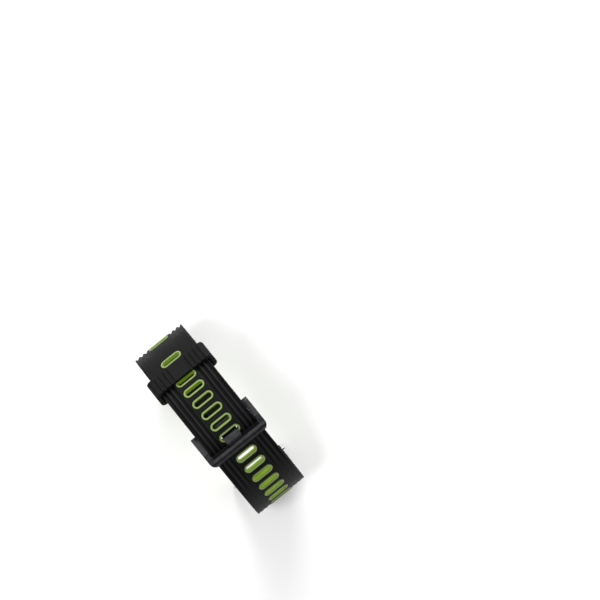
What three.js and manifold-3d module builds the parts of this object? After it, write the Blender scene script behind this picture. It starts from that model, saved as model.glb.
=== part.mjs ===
// A two-part silicone wrist strap, done up by its pin buckle as on a wrist.
// Millimetres. +X runs round the wrist from the short half, over the buckle, to the long half.
// +Y runs across the strap and +Z points out of the palm side, where the buckle is.
// Both halves end in a lug end with a spring bar, which a watch case would fit between.

import * as THREE from "three";
import { mergeVertices } from "three/addons/utils/BufferGeometryUtils.js";
import Module from "manifold-3d";

// Strap halves
const STRAP_WIDTH = 20;
const LONG_THICKNESS = 2;
const SHORT_THICKNESS = 2;
const LAYER_GAP = 0.3; // between the halves where the tail lies on the short half
const LUG_END_DIAMETER = 3.8;
const LUG_SWELL_LENGTH = 8; // the strap thickens to the lug end over this length
const SWELL_INSIDE_BARREL = 0.06; // each face of the thickened strap ends this far inside the round
const TAIL_CORNER_RADIUS = 6;

// The wrist that the strap is bent round, as the circles that its inner surface follows.
// The palm is at Z 0 here, and the spring bar of the buckle is a little way along +X.
const PALM_X = -7; // where the flat of the palm side starts to bend to the short side
const PALM_RADIUS = 13;
const LONG_REACH = 31.6; // the inner surface's furthest X on the long side
const LONG_SIDE_RADIUS = 25.8;
const SHORT_SIDE_RADIUS = 20.3;
const KEEPER_ZONE_RADIUS = 50; // gentle stretch that the keeper slides on
const KEEPER_ZONE_TILTS = [28, 46];
const BACK_RADIUS = 17;
const LUG_INSET = 10; // each lug end's spring bar, in from its side's furthest reach
const LUG_DROP = 17.7; // and below the middle of the deeper side

// Slots and the green liner
const SLOT_LENGTH = 6.9;
const SLOT_WIDTH = 1.8;
const COLLAR_WALL = 0.8;
const RIM_HEIGHT = 0.15; // the collar stands proud of the black by this
const LINER_THICKNESS = 0.6;
const LINER_WIDTH = 14;
const BOND_GAP = 0.1; // between liner and black
const LONG_SLOT_PITCH = 4.9;
const LONG_SLOTS_BEFORE_TONGUE = 5;
const LONG_SLOTS_AFTER_TONGUE = 9;
const SHORT_SLOT_PITCH = 13.9;
const SHORT_SLOTS = 4;
const SHORT_SLOT_TILT = 44.2; // tilt of the slot just past the keeper
const TONGUE_SLOT_X = 5.9;

// Spring bars, all three alike
const BAR_RADIUS = 0.75;
const BAR_BORE_RADIUS = 0.55;
const BAR_LIP_RADIUS = 0.38;
const BAR_LIP_LENGTH = 0.5;
const BAR_SHORT_OF_EDGE = 1.3; // tube's end to the strap's edge
const RUNNING_CLEARANCE = 0.05;
const PLUNGER_FLANGE_RADIUS = 0.5;
const PLUNGER_FLANGE_LENGTH = 0.6;
const PLUNGER_SHAFT_RADIUS = 0.33;
const PLUNGER_SHOULDER_RADIUS = 0.65;
const PLUNGER_SHOULDER_LENGTH = 0.2;
const PLUNGER_TRAVEL = 0.95;
const PLUNGER_TIP_RADIUS = 0.4;
const PLUNGER_TIP_LENGTH = 1.1;
const SPRING_WIRE_RADIUS = 0.09;
const SPRING_RADIUS = 0.4;
const SPRING_TURNS = 9;

// Buckle
const HINGE_X = 1.3;
const HINGE_WALL = 0.8; // silicone round the buckle's spring bar
const CREST_X = 1;
const CREST_RADIUS = 11; // the long half bends over the hinge on this
const CREST_CLEARANCE = 0.25;
const ARM_THICKNESS = 1.75;
const ARM_CLEARANCE = 0.2; // strap edge to buckle arm
const ARM_EYE_OVER_HINGE = 0.15; // the arm's eye stands proud of the silicone hinge
const PIN_HOLE_DEPTH = 1.1;
const PIN_HOLE_CLEARANCE = 0.07;
const FRONT_BAR_INNER_X = 8.9;
const FRONT_BAR_WIDTH = 4.1;
const FRONT_BAR_HEIGHT = 2.4;
const FRONT_BAR_CLEARANCE = 0.35; // over the black, so that the rims pass under
const FRAME_CORNER_RADIUS = 2.4;
const TONGUE_SLOT_CLEARANCE = 0.45; // each side of the tongue in its slot
const TONGUE_THICKNESS = 0.8;
const TONGUE_BEND_RADIUS = 0.8;
const TONGUE_BARREL_UNDER_HINGE = 0.2; // its barrel is slimmer than the silicone hinge
const TONGUE_CORNER_RADIUS = 0.7;
const TONGUE_SHIFT = 0.3; // from the slot's middle, towards the front bar
const TONGUE_RISE = 0.66; // middle of the tongue's flat end over the slot's mouth
const TONGUE_DROP = 0.15; // tongue's root, below the spring bar's middle
const TONGUE_REACH = 1.05; // over the front bar's inner edge
const TONGUE_SIDE_CLEARANCE = 0.3;
const NOTCH_CLEARANCE = 0.1;

// Keeper loop
const KEEPER_LENGTH = 7.4;
const KEEPER_TILT = 34.8;
const KEEPER_SIDE_WALL = 1.4;
const KEEPER_SIDE_CLEARANCE = 0.55;
const KEEPER_TOP_WALL = 1.3;
const KEEPER_TOP_CLEARANCE = 0.45;
const KEEPER_BOTTOM_WALL = 1;
const KEEPER_BOTTOM_CLEARANCE = 0.3;
const KEEPER_OUTER_CORNER = 1.8;
const KEEPER_INNER_CORNER = 0.9;
const TAIL_SHORT_OF_KEEPER = 0.6; // the tail ends this far inside the keeper's lower edge

// Fineness
const STATION_LENGTH = 1.8; // longest straight step along a strap
const ROUND_STEPS = 16;
const ARC_STEPS = 3;
const SPRING_STEPS_PER_TURN = 8;
const PAST = 1; // how far a cutting shape runs past what it cuts

const wasm = await Module();
wasm.setup();

const radians = THREE.MathUtils.degToRad;

// ---- Solids

function solidOf(geometry, placement = new THREE.Matrix4()) {
  const bare = geometry.clone();
  bare.deleteAttribute("normal");
  bare.deleteAttribute("uv");
  bare.applyMatrix4(placement);
  const merged = mergeVertices(bare, 1e-4);
  return new wasm.Manifold(
    new wasm.Mesh({
      numProp: 3,
      vertProperties: new Float32Array(merged.attributes.position.array),
      triVerts: new Uint32Array(merged.index.array),
    }),
  );
}

function meshOf(name, solid, finish) {
  const { vertProperties, triVerts } = solid.getMesh();
  const geometry = new THREE.BufferGeometry();
  geometry.setAttribute("position", new THREE.BufferAttribute(vertProperties, 3));
  geometry.setIndex(new THREE.BufferAttribute(triVerts, 1));
  geometry.computeVertexNormals();
  const mesh = new THREE.Mesh(geometry, new THREE.MeshStandardMaterial(finish));
  mesh.name = name;
  return mesh;
}

// A shape drawn in X and Z, as a prism that spans from one Y to another.
function sidePrism(shape, fromY, toY) {
  const geometry = new THREE.ExtrudeGeometry(shape, {
    depth: toY - fromY,
    bevelEnabled: false,
    curveSegments: ARC_STEPS,
  });
  const placement = new THREE.Matrix4().makeBasis(
    new THREE.Vector3(1, 0, 0),
    new THREE.Vector3(0, 0, 1),
    new THREE.Vector3(0, -1, 0),
  );
  placement.setPosition(0, toY, 0);
  return solidOf(geometry, placement);
}

// A shape drawn in X and Y, as a prism that spans from one Z to another in the frame given.
function planPrism(shape, low, high, frame = new THREE.Matrix4()) {
  const geometry = new THREE.ExtrudeGeometry(shape, {
    depth: high - low,
    bevelEnabled: false,
    curveSegments: ARC_STEPS,
  });
  geometry.translate(0, 0, low);
  return solidOf(geometry, frame);
}

// A box from its lowest corner to its highest.
function boxSolid(low, high) {
  const size = high.map((value, axis) => value - low[axis]);
  const middle = high.map((value, axis) => (value + low[axis]) / 2);
  const geometry = new THREE.BoxGeometry(...size);
  return solidOf(geometry, new THREE.Matrix4().makeTranslation(...middle));
}

// A cylinder along Y.
function rod(x, z, radius, fromY, toY) {
  const geometry = new THREE.CylinderGeometry(radius, radius, toY - fromY, ROUND_STEPS);
  return solidOf(geometry, new THREE.Matrix4().makeTranslation(x, (fromY + toY) / 2, z));
}

// ---- Outlines

function stadium(length, width) {
  const end = (length - width) / 2;
  const shape = new THREE.Shape();
  shape.absarc(0, end, width / 2, 0, Math.PI, false);
  shape.absarc(0, -end, width / 2, Math.PI, 2 * Math.PI, false);
  shape.closePath();
  return shape;
}

// A closed outline through corners [x, y, radius], anticlockwise, each corner rounded by its radius.
function roundedOutline(corners, shape = new THREE.Shape()) {
  corners.forEach(([x, y, radius], index) => {
    const here = new THREE.Vector2(x, y);
    const before = new THREE.Vector2(...corners.at(index - 1).slice(0, 2));
    const after = new THREE.Vector2(...corners[(index + 1) % corners.length].slice(0, 2));
    const back = before.sub(here).normalize();
    const onward = after.sub(here).normalize();
    const half = Math.acos(THREE.MathUtils.clamp(back.dot(onward), -1, 1)) / 2;
    const start = here.clone().addScaledVector(back, radius / Math.tan(half));
    if (index === 0) shape.moveTo(start.x, start.y);
    else shape.lineTo(start.x, start.y);
    if (radius > 0) {
      const bisector = back.clone().add(onward).normalize();
      const centre = here.clone().addScaledVector(bisector, radius / Math.sin(half));
      const turnsLeft = back.cross(onward) < 0;
      const end = here.clone().addScaledVector(onward, radius / Math.tan(half));
      const from = Math.atan2(start.y - centre.y, start.x - centre.x);
      const to = Math.atan2(end.y - centre.y, end.x - centre.x);
      shape.absarc(centre.x, centre.y, radius, from, to, !turnsLeft);
    }
  });
  shape.closePath();
  return shape;
}

function roundedRectangle(left, bottom, right, top, radius, shape) {
  const corners = [
    [left, bottom, radius],
    [right, bottom, radius],
    [right, top, radius],
    [left, top, radius],
  ];
  return roundedOutline(corners, shape);
}

// The outline of a plate of even thickness whose middle runs through corners [x, z, bend radius].
function plateOutline(corners, thickness) {
  const side = (sign) =>
    corners.map(([x, z, radius], index) => {
      const here = new THREE.Vector2(x, z);
      const before = index > 0 ? new THREE.Vector2(...corners[index - 1].slice(0, 2)) : null;
      const after = corners[index + 1] ? new THREE.Vector2(...corners[index + 1].slice(0, 2)) : null;
      const coming = before ? here.clone().sub(before).normalize() : after.clone().sub(here).normalize();
      const going = after ? after.clone().sub(here).normalize() : coming.clone();
      const normal = coming.clone().add(going).normalize();
      normal.set(-normal.y * sign, normal.x * sign);
      const spread = thickness / 2 / Math.sqrt((1 + coming.dot(going)) / 2);
      const turn = Math.sign(coming.cross(going)) * sign;
      const bend = radius > 0 ? Math.max(radius - (turn * thickness) / 2, 0.05) : 0;
      return [x + normal.x * spread, z + normal.y * spread, bend];
    });
  return roundedOutline([...side(-1), ...side(1).reverse()]);
}

// ---- The line that a strap half follows

// The wheel that touches another from within or without where the normal has this angle.
function touchingWheel(wheel, normalDegrees, radius) {
  const reach = wheel.r - radius;
  const angle = radians(normalDegrees);
  return {
    x: wheel.x + reach * Math.cos(angle),
    z: wheel.z + reach * Math.sin(angle),
    r: radius,
  };
}

// A belt lies over wheels in turn, clockwise, with straight runs between them.
class Belt {
  constructor(wheels, offset, startDegrees) {
    this.pieces = [];
    this.length = 0;
    let angle = startDegrees === undefined ? undefined : radians(startDegrees);
    wheels.forEach((wheel, index) => {
      const next = wheels[index + 1];
      const leaving = next ? Belt.leavingAngle(wheel, next) : undefined;
      const radius = wheel.r + offset;
      if (angle !== undefined && next) {
        this.add({ centre: wheel, radius, angle, turn: angle - leaving });
      }
      if (next) {
        this.addRun(wheel, next, offset, leaving);
        angle = leaving;
      }
    });
  }

  static leavingAngle(wheel, next) {
    const distance = Math.hypot(next.x - wheel.x, next.z - wheel.z);
    const heading = Math.atan2(next.z - wheel.z, next.x - wheel.x);
    const swing = Math.acos(THREE.MathUtils.clamp((wheel.r - next.r) / distance, -1, 1));
    return heading + swing;
  }

  add(piece) {
    piece.start = this.length;
    piece.length = piece.run ?? piece.turn * piece.radius;
    this.length += piece.length;
    this.pieces.push(piece);
  }

  addRun(wheel, next, offset, angle) {
    const from = [
      wheel.x + (wheel.r + offset) * Math.cos(angle),
      wheel.z + (wheel.r + offset) * Math.sin(angle),
    ];
    const to = [
      next.x + (next.r + offset) * Math.cos(angle),
      next.z + (next.r + offset) * Math.sin(angle),
    ];
    const run = Math.hypot(to[0] - from[0], to[1] - from[1]);
    if (run > 1e-6) this.add({ from, run, angle });
  }

  // The point this far along, raised by a height, with the outward normal there.
  at(along, height = 0) {
    const last = this.pieces.at(-1);
    const piece = this.pieces.find((one) => along <= one.start + one.length) ?? last;
    const within = along - piece.start;
    const angle = piece.run ? piece.angle : piece.angle - within / piece.radius;
    const normal = { x: Math.cos(angle), z: Math.sin(angle) };
    const base = piece.run
      ? [piece.from[0] + within * normal.z, piece.from[1] - within * normal.x]
      : [piece.centre.x + piece.radius * normal.x, piece.centre.z + piece.radius * normal.z];
    return {
      x: base[0] + height * normal.x,
      z: base[1] + height * normal.z,
      normal,
    };
  }

  // Its places along, close enough for the curve to stay smooth.
  stations(from, to) {
    const stops = [from, ...this.pieces.map((piece) => piece.start), to];
    const inside = stops.filter((stop) => stop >= from && stop <= to).sort((a, b) => a - b);
    const places = [from];
    for (let index = 1; index < inside.length; index += 1) {
      const gap = inside[index] - inside[index - 1];
      const steps = Math.ceil(gap / STATION_LENGTH);
      for (let step = 1; step <= steps; step += 1) {
        places.push(inside[index - 1] + (gap * step) / steps);
      }
    }
    return places.filter((place, index) => index === 0 || place - places[index - 1] > 1e-3);
  }

  // A frame at a place along: x along the belt, y across it and z out of it.
  frame(along) {
    const { x, z, normal } = this.at(along);
    const frame = new THREE.Matrix4().makeBasis(
      new THREE.Vector3(normal.z, 0, -normal.x),
      new THREE.Vector3(0, 1, 0),
      new THREE.Vector3(normal.x, 0, normal.z),
    );
    return frame.setPosition(x, 0, z);
  }

  // The place along where a test turns true, found by halving.
  placeWhere(test) {
    let low = 0;
    let high = this.length;
    while (high - low > 1e-7) {
      const middle = (low + high) / 2;
      if (test(this.at(middle))) high = middle;
      else low = middle;
    }
    return (low + high) / 2;
  }
}

// The side outline of a band between two heights over a belt; a height may change along it.
function bandShape(belt, from, to, low, high) {
  const value = (height, along) => (typeof height === "function" ? height(along) : height);
  const places = belt.stations(from, to);
  const lower = places.map((along) => belt.at(along, value(low, along)));
  const upper = places.map((along) => belt.at(along, value(high, along)));
  return new THREE.Shape([...lower, ...upper.reverse()].map((point) => new THREE.Vector2(point.x, point.z)));
}

function band(belt, from, to, low, high, width) {
  return sidePrism(bandShape(belt, from, to, low, high), -width / 2, width / 2);
}

// ---- Layout

const HALF_WIDTH = STRAP_WIDTH / 2;
const BAR_HALF_LENGTH = HALF_WIDTH - BAR_SHORT_OF_EDGE;
const TONGUE_WIDTH = SLOT_LENGTH - 2 * TONGUE_SLOT_CLEARANCE;
const barrelBore = BAR_RADIUS + RUNNING_CLEARANCE;
const hingeRadius = barrelBore + HINGE_WALL;
const hinge = { x: HINGE_X, z: hingeRadius };
const armEyeRadius = hingeRadius + ARM_EYE_OVER_HINGE;
const tongueBarrelRadius = hingeRadius - TONGUE_BARREL_UNDER_HINGE;

const palm = { x: PALM_X, z: -PALM_RADIUS, r: PALM_RADIUS };
const keeperZone = touchingWheel(palm, 90 + KEEPER_ZONE_TILTS[0], KEEPER_ZONE_RADIUS);
const shortSide = touchingWheel(keeperZone, 90 + KEEPER_ZONE_TILTS[1], SHORT_SIDE_RADIUS);
const shortBack = touchingWheel(shortSide, 180, BACK_RADIUS);
const longSide = { x: LONG_REACH - LONG_SIDE_RADIUS, z: -LONG_SIDE_RADIUS, r: LONG_SIDE_RADIUS };
const longBack = touchingWheel(longSide, 0, BACK_RADIUS);

// Both lug ends are at one height, so that the strap stands level on them.
const lugZ = Math.min(longSide.z, shortSide.z) - LUG_DROP;
const lugLong = { x: LONG_REACH - LUG_INSET, z: lugZ };
const lugShort = { x: shortSide.x - SHORT_SIDE_RADIUS + LUG_INSET, z: lugZ };

const raised = (wheel, height) => ({ ...wheel, r: wheel.r + height });
const tailHeight = SHORT_THICKNESS + LAYER_GAP;
const crest = {
  x: CREST_X,
  z: 2 * hingeRadius + CREST_CLEARANCE - CREST_RADIUS,
  r: CREST_RADIUS,
};

// Each half's belt runs along its outer surface, and heights on it are measured from there.
const shortBelt = new Belt(
  [
    { ...lugShort, r: -SHORT_THICKNESS / 2 },
    shortBack,
    shortSide,
    keeperZone,
    palm,
    { ...hinge, r: -hingeRadius },
  ],
  SHORT_THICKNESS,
);

const keeperOuterRadius = keeperZone.r + tailHeight + LONG_THICKNESS;
const degreesOn = (length) => THREE.MathUtils.radToDeg(length / keeperOuterRadius);
const tailTilt = KEEPER_TILT + degreesOn(KEEPER_LENGTH / 2 - TAIL_SHORT_OF_KEEPER);
const longBelt = new Belt(
  [
    raised(keeperZone, tailHeight),
    raised(palm, tailHeight),
    crest,
    longSide,
    longBack,
    { ...lugLong, r: -LONG_THICKNESS / 2 },
  ],
  LONG_THICKNESS,
  90 + tailTilt,
);

const tongueSlot = longBelt.placeWhere((point) => point.x > TONGUE_SLOT_X);
const longSlots = [];
for (let index = -LONG_SLOTS_BEFORE_TONGUE; index <= LONG_SLOTS_AFTER_TONGUE; index += 1) {
  longSlots.push(tongueSlot + index * LONG_SLOT_PITCH);
}

const slotPastKeeper = shortBelt.placeWhere(
  (point) => Math.atan2(point.normal.z, point.normal.x) > 0 &&
    point.normal.x > -Math.sin(radians(SHORT_SLOT_TILT)),
);
const shortSlots = [];
for (let index = 1; index > 1 - SHORT_SLOTS; index -= 1) {
  shortSlots.push(slotPastKeeper + index * SHORT_SLOT_PITCH);
}

// ---- Strap halves

const BLACK_SILICONE = { color: 0x2b2c2f, roughness: 0.62, metalness: 0 };
const GREEN_SILICONE = { color: 0x99b846, roughness: 0.55, metalness: 0 };
const SATIN_BLACK_METAL = { color: 0x3a3b3e, roughness: 0.38, metalness: 0.8 };
const BRIGHT_STEEL = { color: 0xb9bcc0, roughness: 0.3, metalness: 1 };

function smooth(value) {
  const part = THREE.MathUtils.clamp(value, 0, 1);
  return part * part * (3 - 2 * part);
}

const collarLength = SLOT_LENGTH + 2 * COLLAR_WALL;
const collarWidth = SLOT_WIDTH + 2 * COLLAR_WALL;

function slotCut(belt, along, length, width, thickness) {
  return planPrism(stadium(length, width), -thickness - PAST, PAST, belt.frame(along));
}

// The black of one half: its band with the liner's seat and a cut for each slot's collar.
function blackBand(belt, slots, thickness, swell, linerFrom, linerTo) {
  const low = (along) => -thickness - swell(along).inner;
  const high = (along) => swell(along).outer;
  let solid = band(belt, 0, belt.length, low, high, STRAP_WIDTH);
  const seatTop = -thickness + LINER_THICKNESS + BOND_GAP;
  const seatWidth = LINER_WIDTH + 2 * BOND_GAP;
  const seat = band(
    belt,
    linerFrom - BOND_GAP,
    linerTo + BOND_GAP,
    -thickness - PAST,
    seatTop,
    seatWidth,
  );
  solid = solid.subtract(seat);
  for (const along of slots) {
    const length = collarLength + 2 * BOND_GAP;
    const width = collarWidth + 2 * BOND_GAP;
    solid = solid.subtract(slotCut(belt, along, length, width, thickness));
  }
  return solid;
}

// The green of one half: a strip against the skin, with a collar up through the black at each slot.
function liner(belt, slots, thickness, from, to) {
  let solid = band(belt, from, to, -thickness, -thickness + LINER_THICKNESS, LINER_WIDTH);
  for (const along of slots) {
    const low = -thickness + LINER_THICKNESS / 2;
    const collar = planPrism(
      stadium(collarLength, collarWidth),
      low,
      RIM_HEIGHT,
      belt.frame(along),
    );
    solid = solid.add(collar);
  }
  for (const along of slots) {
    solid = solid.subtract(slotCut(belt, along, SLOT_LENGTH, SLOT_WIDTH, thickness));
  }
  return solid;
}

function lugSwell(distance, thickness) {
  const most = (LUG_END_DIAMETER - thickness) / 2 - SWELL_INSIDE_BARREL;
  return most * smooth(1 - distance / LUG_SWELL_LENGTH);
}

function lugBarrel(lug) {
  return rod(lug.x, lug.z, LUG_END_DIAMETER / 2, -HALF_WIDTH, HALF_WIDTH);
}

function bore(place, radius, halfLength) {
  return rod(place.x, place.z, radius, -halfLength, halfLength);
}

// Takes the two square corners off the tail.
function tailCorners(belt) {
  const edge = HALF_WIDTH;
  const radius = TAIL_CORNER_RADIUS;
  const shape = new THREE.Shape();
  shape.moveTo(-PAST, -edge - PAST);
  shape.lineTo(radius, -edge - PAST);
  shape.lineTo(radius, -edge);
  shape.absarc(radius, -edge + radius, radius, -Math.PI / 2, -Math.PI, true);
  shape.absarc(radius, edge - radius, radius, Math.PI, Math.PI / 2, true);
  shape.lineTo(radius, edge + PAST);
  shape.lineTo(-PAST, edge + PAST);
  shape.closePath();
  return planPrism(shape, -LONG_THICKNESS - PAST, PAST, belt.frame(0));
}

const linerEnd = LUG_SWELL_LENGTH + 1;
const longLinerFrom = 2.5;
const longLinerTo = longBelt.length - linerEnd;
const shortLinerFrom = linerEnd;
const hingeSwellLength = 5;
const shortLinerTo = shortBelt.length - hingeSwellLength - 1;

function longHalf() {
  const swell = (along) => {
    const most = lugSwell(longBelt.length - along, LONG_THICKNESS);
    return { inner: most, outer: most };
  };
  return blackBand(longBelt, longSlots, LONG_THICKNESS, swell, longLinerFrom, longLinerTo)
    .add(lugBarrel(lugLong))
    .subtract(bore(lugLong, barrelBore, HALF_WIDTH + PAST))
    .subtract(tailCorners(longBelt));
}

const tongueGap = TONGUE_WIDTH / 2 + TONGUE_SIDE_CLEARANCE;

function shortHalf() {
  const hingeSwell = (hingeRadius * 2 - SHORT_THICKNESS) / 2;
  const swell = (along) => {
    const most = lugSwell(along, SHORT_THICKNESS);
    const rise = hingeSwell * smooth(1 - (shortBelt.length - along) / hingeSwellLength);
    return { inner: most, outer: most + rise };
  };
  const gapForTongue = boxSolid(
    [hinge.x - hingeRadius - TONGUE_SIDE_CLEARANCE - 0.4, -tongueGap, -PAST],
    [hinge.x + hingeRadius + PAST, tongueGap, 2 * hingeRadius + PAST],
  );
  return blackBand(shortBelt, shortSlots, SHORT_THICKNESS, swell, shortLinerFrom, shortLinerTo)
    .add(lugBarrel(lugShort))
    .add(rod(hinge.x, hinge.z, hingeRadius, -HALF_WIDTH, HALF_WIDTH))
    .subtract(bore(lugShort, barrelBore, HALF_WIDTH + PAST))
    .subtract(bore(hinge, barrelBore, HALF_WIDTH + PAST))
    .subtract(gapForTongue);
}

// ---- Spring bars

function latheSolid(points, place, flip = 1) {
  const profile = points.map(([radius, y]) => new THREE.Vector2(radius, y));
  const geometry = new THREE.LatheGeometry(profile, ROUND_STEPS);
  const placement = new THREE.Matrix4().makeTranslation(place.x, 0, place.z);
  if (flip < 0) placement.multiply(new THREE.Matrix4().makeRotationX(Math.PI));
  return solidOf(geometry, placement);
}

function barTube(place) {
  const end = BAR_HALF_LENGTH;
  const lip = end - BAR_LIP_LENGTH;
  return latheSolid(
    [
      [BAR_RADIUS, -end],
      [BAR_RADIUS, end],
      [BAR_LIP_RADIUS, end],
      [BAR_LIP_RADIUS, lip],
      [BAR_BORE_RADIUS, lip],
      [BAR_BORE_RADIUS, -lip],
      [BAR_LIP_RADIUS, -lip],
      [BAR_LIP_RADIUS, -end],
      [BAR_RADIUS, -end],
    ],
    place,
  );
}

const shoulderStart = BAR_HALF_LENGTH + PLUNGER_TRAVEL + RUNNING_CLEARANCE;
const shoulderEnd = shoulderStart + PLUNGER_SHOULDER_LENGTH;
const tipEnd = shoulderEnd + PLUNGER_TIP_LENGTH;
const flangeEnd = BAR_HALF_LENGTH - BAR_LIP_LENGTH - RUNNING_CLEARANCE;
const flangeStart = flangeEnd - PLUNGER_FLANGE_LENGTH;

function plunger(place, side) {
  const chamfer = PLUNGER_TIP_RADIUS / 2;
  return latheSolid(
    [
      [0, flangeStart],
      [PLUNGER_FLANGE_RADIUS, flangeStart],
      [PLUNGER_FLANGE_RADIUS, flangeEnd],
      [PLUNGER_SHAFT_RADIUS, flangeEnd],
      [PLUNGER_SHAFT_RADIUS, shoulderStart],
      [PLUNGER_SHOULDER_RADIUS, shoulderStart],
      [PLUNGER_SHOULDER_RADIUS, shoulderEnd],
      [PLUNGER_TIP_RADIUS, shoulderEnd],
      [PLUNGER_TIP_RADIUS, tipEnd - chamfer],
      [PLUNGER_TIP_RADIUS - chamfer, tipEnd],
      [0, tipEnd],
    ],
    place,
    side,
  );
}

class Helix extends THREE.Curve {
  constructor(place, halfLength) {
    super();
    this.place = place;
    this.halfLength = halfLength;
  }

  getPoint(share, target = new THREE.Vector3()) {
    const angle = 2 * Math.PI * SPRING_TURNS * share;
    return target.set(
      this.place.x + SPRING_RADIUS * Math.cos(angle),
      this.halfLength * (2 * share - 1),
      this.place.z + SPRING_RADIUS * Math.sin(angle),
    );
  }
}

function barSpring(place) {
  const wire = new THREE.Shape();
  wire.absarc(0, 0, SPRING_WIRE_RADIUS, 0, 2 * Math.PI, false);
  const halfLength = flangeStart - SPRING_WIRE_RADIUS - RUNNING_CLEARANCE;
  const geometry = new THREE.ExtrudeGeometry(wire, {
    extrudePath: new Helix(place, halfLength),
    steps: SPRING_TURNS * SPRING_STEPS_PER_TURN,
    curveSegments: ARC_STEPS,
    bevelEnabled: false,
  });
  return solidOf(geometry);
}

function springBar(name, place) {
  return [
    meshOf(`${name}_tube`, barTube(place), BRIGHT_STEEL),
    meshOf(`${name}_plunger_left`, plunger(place, -1), BRIGHT_STEEL),
    meshOf(`${name}_plunger_right`, plunger(place, 1), BRIGHT_STEEL),
    meshOf(`${name}_spring`, barSpring(place), BRIGHT_STEEL),
  ];
}

// ---- Buckle

const slotMouth = longBelt.at(tongueSlot);
const slotNormal = new THREE.Vector2(slotMouth.normal.x, slotMouth.normal.z);
const slotForward = new THREE.Vector2(slotNormal.y, -slotNormal.x);
const tongueTopZ = slotMouth.z + TONGUE_RISE;
const tongueTipX = FRONT_BAR_INNER_X + TONGUE_REACH;
const armInnerY = HALF_WIDTH + ARM_CLEARANCE;
const armOuterY = armInnerY + ARM_THICKNESS;
const frontBarOuterX = FRONT_BAR_INNER_X + FRONT_BAR_WIDTH;

// Where the tongue's middle, as it passes up through the slot, reaches a height.
function tongueAtHeight(z) {
  const mouth = new THREE.Vector2(slotMouth.x, slotMouth.z).addScaledVector(slotForward, TONGUE_SHIFT);
  return mouth.addScaledVector(slotNormal, (z - mouth.y) / slotNormal.y);
}

function tongue() {
  const rootZ = hinge.z - TONGUE_DROP;
  const foot = tongueAtHeight(rootZ);
  const head = tongueAtHeight(tongueTopZ);
  const outline = plateOutline(
    [
      [hinge.x, rootZ, 0],
      [foot.x, foot.y, TONGUE_BEND_RADIUS],
      [head.x, head.y, TONGUE_BEND_RADIUS],
      [tongueTipX, tongueTopZ, 0],
    ],
    TONGUE_THICKNESS,
  );
  const half = TONGUE_WIDTH / 2;
  const back = hinge.x - tongueBarrelRadius - PAST;
  const plan = roundedRectangle(back, -half, tongueTipX, half, TONGUE_CORNER_RADIUS);
  return sidePrism(outline, -half, half)
    .add(rod(hinge.x, hinge.z, tongueBarrelRadius, -half, half))
    .intersect(planPrism(plan, -PAST, tongueTopZ + PAST))
    .subtract(bore(hinge, barrelBore, half + PAST));
}

// The long half's outer surface under the front bar, as a height at x.
function strapTopAt(x) {
  const point = longBelt.at(longBelt.placeWhere((one) => one.x > x));
  return point.z;
}

function frontBarCorners() {
  const inner = FRONT_BAR_INNER_X;
  const outer = frontBarOuterX;
  const under = (x) => strapTopAt(x) + FRONT_BAR_CLEARANCE;
  const crestX = inner + FRONT_BAR_WIDTH * 0.42;
  const crestZ = under(crestX) + FRONT_BAR_HEIGHT;
  return [
    [inner, under(inner), 0.25],
    [outer - 0.2, under(outer - 0.2), 0.5],
    [outer, crestZ - 1.9, 0.9],
    [crestX + 1, crestZ - 0.25, 1],
    [crestX - 0.8, crestZ, 0.6],
    [inner, crestZ - 0.75, 0.4],
  ];
}

// One arm from its eye round the spring bar to the front bar, with a shoulder before the bar.
function armCorners() {
  const [, outerLow, outerHigh, crestOut, crestIn] = frontBarCorners();
  const shoulderX = FRONT_BAR_INNER_X - 1.75;
  const armTop = hinge.z + armEyeRadius;
  return [
    [hinge.x, hinge.z - armEyeRadius, 0],
    [outerLow[0], outerLow[1] - 0.6, 0.5],
    [outerHigh[0], outerHigh[1], 0.9],
    [crestOut[0], crestOut[1], 1],
    [crestIn[0], crestIn[1], 0.6],
    [shoulderX + 0.5, crestIn[1] - 0.7, 0.4],
    [shoulderX, armTop + 0.55, 0.3],
    [hinge.x, armTop, 0],
  ];
}

function buckleFrame() {
  const arm = roundedOutline(armCorners());
  const left = sidePrism(arm, -armOuterY, -armInnerY);
  const right = sidePrism(arm, armInnerY, armOuterY);
  const eye = (fromY, toY) => rod(hinge.x, hinge.z, armEyeRadius, fromY, toY);
  const bar = sidePrism(roundedOutline(frontBarCorners()), -armOuterY, armOuterY);
  const corner = FRAME_CORNER_RADIUS;
  const plan = roundedOutline([
    [hinge.x - armEyeRadius - PAST, -armOuterY, 0],
    [frontBarOuterX, -armOuterY, corner],
    [frontBarOuterX, armOuterY, corner],
    [hinge.x - armEyeRadius - PAST, armOuterY, 0],
  ]);
  const notchHalf = TONGUE_WIDTH / 2 + TONGUE_SIDE_CLEARANCE;
  const notch = boxSolid(
    [FRONT_BAR_INNER_X - PAST, -notchHalf, tongueTopZ - TONGUE_THICKNESS / 2 - NOTCH_CLEARANCE],
    [tongueTipX + TONGUE_SIDE_CLEARANCE, notchHalf, tongueTopZ + 3],
  );
  const holeRadius = PLUNGER_TIP_RADIUS + PIN_HOLE_CLEARANCE;
  return left
    .add(eye(-armOuterY, -armInnerY))
    .add(right)
    .add(eye(armInnerY, armOuterY))
    .add(bar)
    .intersect(planPrism(plan, -PAST - 5, tongueTopZ + 5))
    .subtract(notch)
    .subtract(rod(hinge.x, hinge.z, holeRadius, armInnerY - PAST, armInnerY + PIN_HOLE_DEPTH))
    .subtract(rod(hinge.x, hinge.z, holeRadius, -armInnerY - PIN_HOLE_DEPTH, -armInnerY + PAST));
}

// ---- Keeper

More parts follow.
